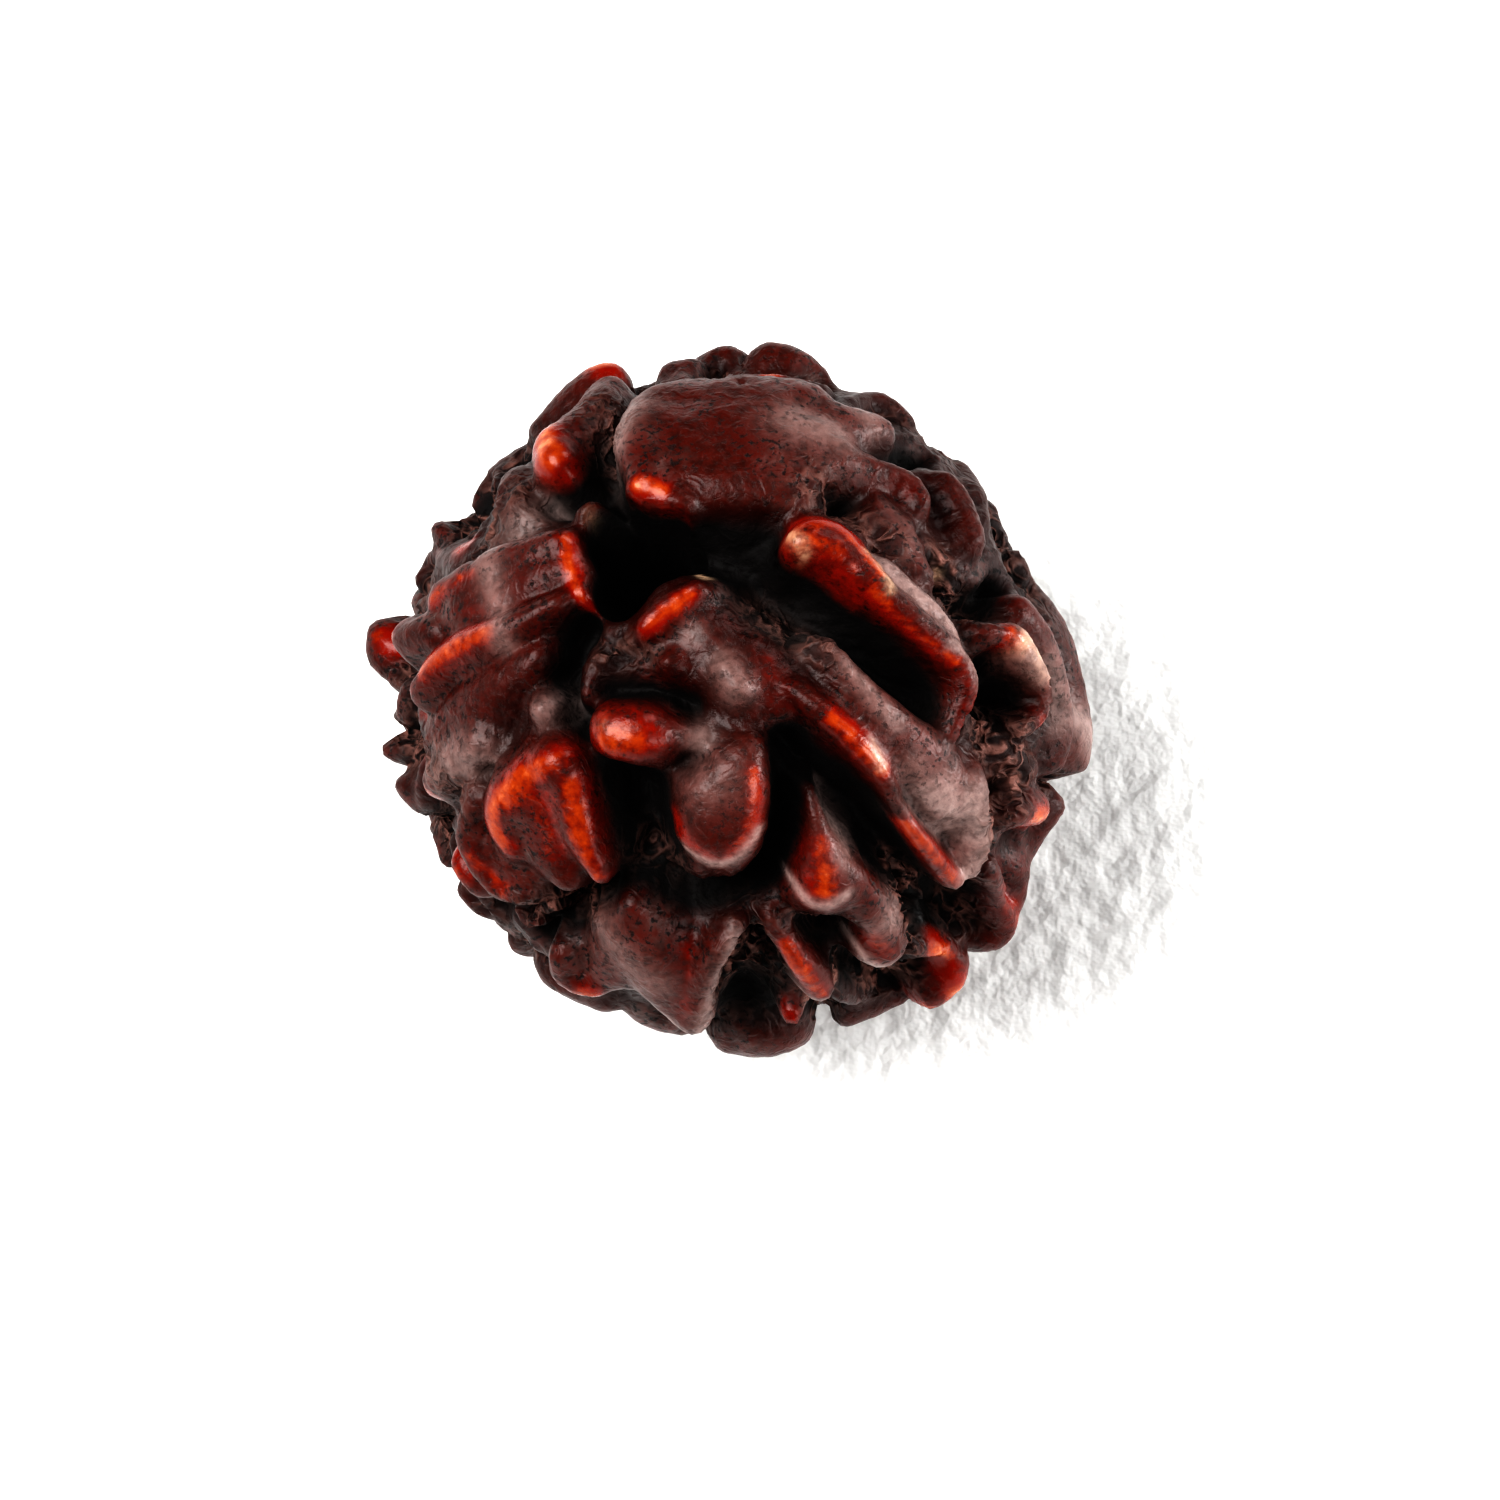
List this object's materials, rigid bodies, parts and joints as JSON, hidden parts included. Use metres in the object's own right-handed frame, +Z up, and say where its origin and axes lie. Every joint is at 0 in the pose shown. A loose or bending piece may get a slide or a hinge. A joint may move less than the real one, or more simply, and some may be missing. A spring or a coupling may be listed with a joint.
{
  "type": "rudraksha bead",
  "caption": "Rounded hard seed bead with tall rounded crests over deep dark valleys and a string hole from end to end, lying on small worn spots.",
  "frame": {"origin": "on the resting plane, under the middle of the bead's bounding box", "axes": "+Z up from the resting plane; the pictured side faces up and towards -Y; the string hole's upper mouth leans from +Z towards -X"},
  "size_m": [0.0226, 0.0219, 0.0212],
  "materials": {
    "seed_stone": "hard seed shell, oiled and polished on the crests, rough in the valleys"
  },
  "bodies": {
    "root": {"bead": "seed_stone"}
  },
  "joints": []
}
